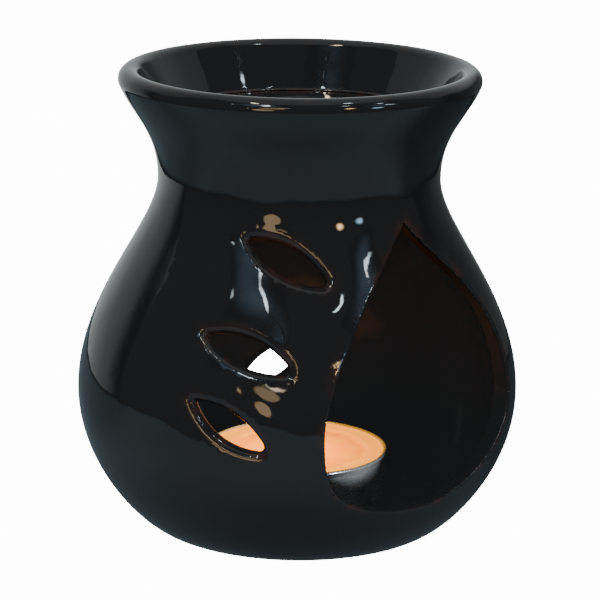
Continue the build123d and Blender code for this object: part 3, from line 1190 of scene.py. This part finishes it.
# The cloth behind: where it starts, in degrees up, at each turn to the right, and where it ends.
cloth_radius = 1.6
cloth_top = 62
cloth_foot = dict.fromkeys((102, 120, 135, 150, 165, 180, 215, 240, 257), -14)
cloth_foot = {96: 30, 99: 20, **cloth_foot, 258: 24, 262: 28, 270: 32}
corners = [studio_up(turn, up, cloth_radius) for turn, up in cloth_foot.items()]
corners += [studio_up(turn, cloth_top, cloth_radius) for turn in cloth_foot]
count = len(cloth_foot)
faces = [(i, i + 1, count + i + 1, count + i) for i in range(count - 1)]
cloth = mesh_of("cloth_mirrored", corners, faces)
material, tree, strength = glow("cloth_light", (0.93, 1.0, 1.0), 0.45)
place = own_place(tree)
behind = toward(tree, place, 180)
bright = share_between(tree, behind, 0.2, cloth_radius)
bright = scaled(tree, bright, 0.5, 0.33)
# Low on the right the cloth falls into shade.
rightward = toward(tree, place, 90)
level = height_of(tree, place)
shade = share_between(tree, rightward, 0.1, 0.5)
shade = product(tree, shade, share_between(tree, level, 0.62, 0.28))
deeper = share_between(tree, rightward, 0.9, 1.55)
shade = product(tree, shade, scaled(tree, deeper, 0.12, 0.86))
bright = product(tree, bright, sum_of(tree, "SUBTRACT", 1.0, shade))
# Its side edges are out of focus in the glaze.
soft = share_between(tree, behind, 0.34, 0.62)
soft = sum_of(tree, "MAXIMUM", soft, share_between(tree, level, 0.45, 0.65))
tree.links.new(product(tree, bright, soft), strength)
only_mirrored(cloth, material)

ceiling_height = 1.5
ceiling_radius = 0.85
ceiling = spin("ceiling_mirrored", [(0, ceiling_height), (ceiling_radius, ceiling_height)], 36)
only_mirrored(ceiling, glow("ceiling_light", (0.9, 0.97, 1.0), 0.50)[0])
lamp_away = 1.3


def lamp_card(name, turn, up, width, height, colour, strength, lean=0, core=0.35):
    """A soft lamp: its turn to the right, height and lean in degrees, its size in metres."""
    middle = Vector(studio_up(turn, up, lamp_away))
    lean = Quaternion(middle.normalized(), math.radians(lean))
    across = lean @ Vector((0, 0, 1)).cross(middle).normalized()
    upward = middle.cross(across).normalized() * height / 2
    across *= width / 2
    middle.z += overall_height / 2
    card = mesh_of(name, [middle + x * across + y * upward for x, y in square], [(0, 1, 2, 3)])
    layer = card.data.uv_layers.new()
    for corner, place in zip(layer.data, square):
        corner.uv = place
    material, tree, shine = glow(name, colour, strength)
    out = length_of(tree, add_node(tree, "TexCoord").outputs["UV"])
    fall = share_between(tree, out, 1.0, core)
    tree.links.new(product(tree, fall, strength), shine)
    only_mirrored(card, material)


daylight = (0.80, 0.93, 1.0)
blue_glow = (0.42, 0.72, 1.0)
gold = (1.0, 0.70, 0.38)
pale_blue = (0.75, 0.90, 1.0)
lamp_card("window_left_glow", -30, 42, 0.70, 0.70, blue_glow, 1.3, core=0.0)
lamp_card("window_left", -23.5, 44, 0.08, 0.42, daylight, 34.0, 10)
lamp_card("window_left_tick", -46.5, 38, 0.035, 0.11, daylight, 12.0)
lamp_card("window_right_glow", 56, 33, 0.42, 0.62, blue_glow, 1.1, 45, core=0.0)
lamp_card("window_right", 57.6, 32.3, 0.07, 0.47, daylight, 26.0, 52)
lamp_card("window_slit", 34, 45.5, 0.15, 0.05, daylight, 34.0)
lamp_card("gold_shade", -22, 5, 0.26, 0.36, gold, 5.0, core=0.85)
lamp_card("gold_shade_wide", -16, 21.5, 0.36, 0.28, gold, 4.0, core=0.7)
lamp_card("gold_shade_left", -31.5, 15, 0.04, 0.22, (1.0, 0.74, 0.46), 6.0)
lamp_card("gold_tube", -11, 27.5, 0.28, 0.05, (1.0, 0.84, 0.60), 16.0)
lamp_card("warm_lamp", 31.5, 20.5, 0.19, 0.19, (1.0, 0.66, 0.30), 44.0, core=0.0)
lamp_card("blue_lamp", 48, 14, 0.22, 0.24, (0.42, 0.75, 1.0), 22.0, core=0.0)
lamp_card("lip_lamp_left", -39, 60, 0.10, 0.34, (1.0, 0.86, 0.70), 40.0, 41)
lamp_card("lip_lamp_middle", 55, 67, 0.12, 0.12, pale_blue, 40.0)
lamp_card("lip_lamp_right", 60, 46, 0.09, 0.09, pale_blue, 30.0)


def aim_at(lamp, spot):
    """Turns a light toward a spot."""
    lamp.rotation_mode = "QUATERNION"
    lamp.rotation_quaternion = (Vector(spot) - lamp.location).to_track_quat("-Z", "Y")


key = new_light("key", "AREA", studio(-30, 0.5, 1.4), None, energy=6, size=1.2)
key.visible_glossy = False
aim_at(key, (0, 0, 0.05))

# A little daylight comes through the doorway, and catches the top of the metal cup's wall.
doorway_light = new_light(
    "doorway_light",
    "SPOT",
    studio(48, 0.9, 0.075),
    [cup],
    energy=75.0,
    color=(0.88, 0.95, 1.0),
    spot_size=math.radians(1.7),
    spot_blend=1.0,
    use_shadow=False,
)
aim_at(doorway_light, (0, 0, cup_top + 7 * mm))

# Even light from all round, so soft that it leaves no shadow on the black glaze.
even_height = 0.35
softness = {"angle": math.radians(60), "use_shadow": False}
for turn, energy in ((0, 2.9), (95, 1.7), (180, 1.7), (-95, 1.5)):
    place = studio(turn, 1.0, even_height)
    even = new_light(f"even_{turn}", "SUN", place, [pot, dish], energy=energy, **softness)
    even.visible_glossy = False
    aim_at(even, (0, 0, 0))

room_glow = 15.9
dark_room_glow = 0.06
world = bpy.data.worlds.new("studio")
world.use_nodes = True
tree = world.node_tree
background = tree.nodes["Background"].inputs
background["Color"].default_value = (1, 1, 1, 1)
seen = add_node(tree, "LightPath").outputs["Is Camera Ray"]
tree.links.new(scaled(tree, seen, room_glow, dark_room_glow), background["Strength"])
bpy.context.scene.world = world

# The camera stands 42 degrees to the left of the doorway and looks down by 15.
camera_distance = 558.7 * mm
camera_height = 194.2 * mm
camera_pitch = math.radians(14.83)
camera_roll = math.radians(0.6)
focal_pixels = 2798
frame_pixels = 600
sensor = 36.0
axis_pixel = 298
camera = bpy.data.cameras.new("camera")
camera.sensor_width = sensor
camera.lens = focal_pixels / frame_pixels * sensor
camera.shift_x = (frame_pixels / 2 - axis_pixel) / frame_pixels
camera.clip_start = 10 * mm
camera.clip_end = 20
camera_at = bpy.data.objects.new("camera", camera)
back = Vector(studio(0, 1, 0))
camera_at.location = back * camera_distance + Vector((0, 0, camera_height))
forward = -back * math.cos(camera_pitch) - Vector((0, 0, math.sin(camera_pitch)))
camera_at.rotation_mode = "QUATERNION"
turn = forward.to_track_quat("-Z", "Y")
camera_at.rotation_quaternion = turn @ Quaternion((0, 0, 1), camera_roll)
bpy.context.collection.objects.link(camera_at)
bpy.context.scene.camera = camera_at

low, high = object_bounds()
